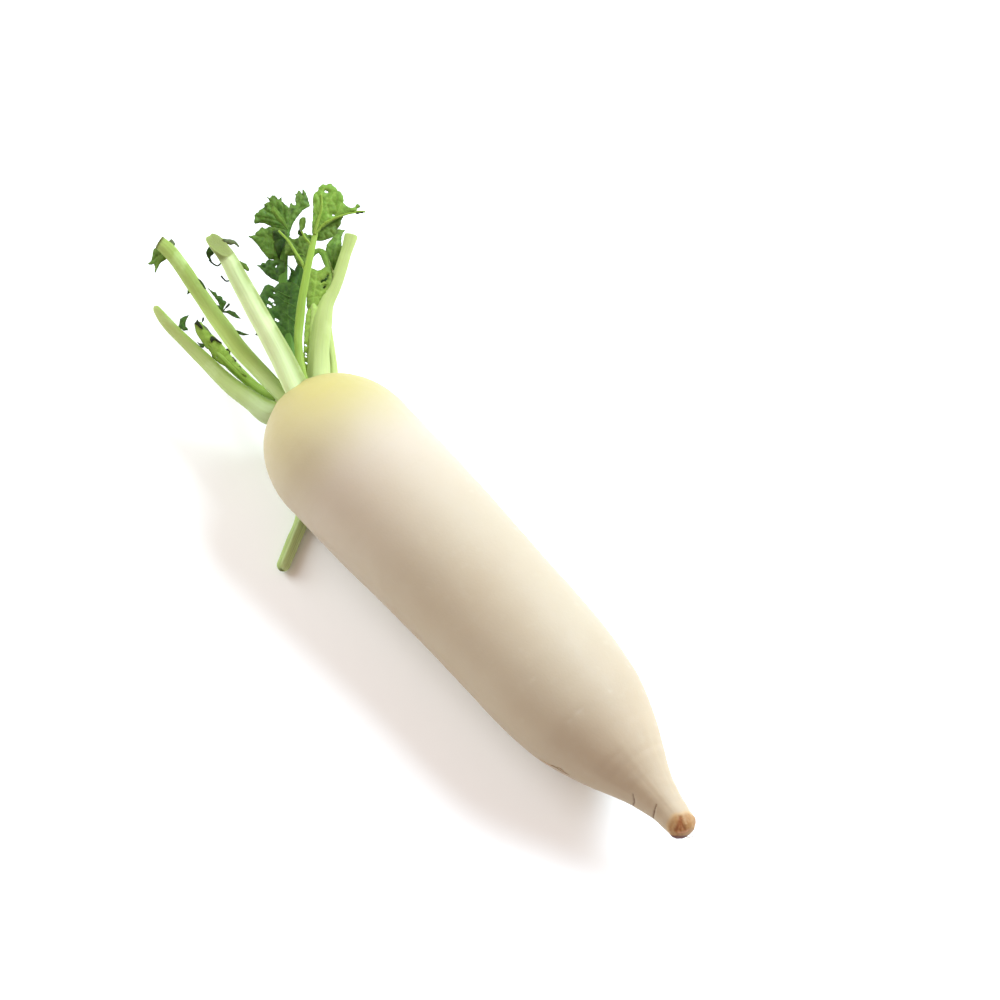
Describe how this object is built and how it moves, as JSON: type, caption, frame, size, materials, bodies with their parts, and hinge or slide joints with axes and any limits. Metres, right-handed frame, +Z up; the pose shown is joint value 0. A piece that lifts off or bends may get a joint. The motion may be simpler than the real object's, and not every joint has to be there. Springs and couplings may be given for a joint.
{
  "type": "white turnip",
  "caption": "Long white turnip root with a rounded shoulder and a tapering tail, lying down, with trimmed leaf stalks and scraps of leaf left at its crown.",
  "frame": {"origin": "the middle of the small flat spot that the root rests on, under the turnip's centre of mass", "axes": "+Z up, +X along the root from the crown to the tail, +Y sideways towards the leaves that spread away from the viewer"},
  "size_m": [0.3533, 0.128, 0.0839],
  "materials": {
    "root_skin": "smooth, moist cream-white skin, yellow-green at the shoulder and brown at the tail's tip",
    "stalk_low": "smooth green stalk",
    "stalk_torn": "smooth green stalk with dark torn edges",
    "stalk_blunt": "smooth green stalk with a blunt cut end",
    "stalk_pale": "smooth pale green stalk with a slanting cut",
    "leaf_bright": "bright green leaf and slender stalk",
    "stalk_thick": "smooth pale green stalk",
    "stalk_narrow": "smooth yellow-green stalk",
    "leaf_dark": "dark green toothed leaf",
    "stalk_folded": "smooth green stalk"
  },
  "bodies": {
    "root": {"root": "root_skin", "leaf_low": "stalk_low", "leaf_torn": "stalk_torn", "leaf_blunt": "stalk_blunt", "leaf_pale": "stalk_pale", "leaf_sprig": "leaf_bright", "leaf_thick": "stalk_thick", "leaf_narrow": "stalk_narrow", "leaf_frond": "leaf_dark", "leaf_folded": "stalk_folded"}
  },
  "joints": []
}
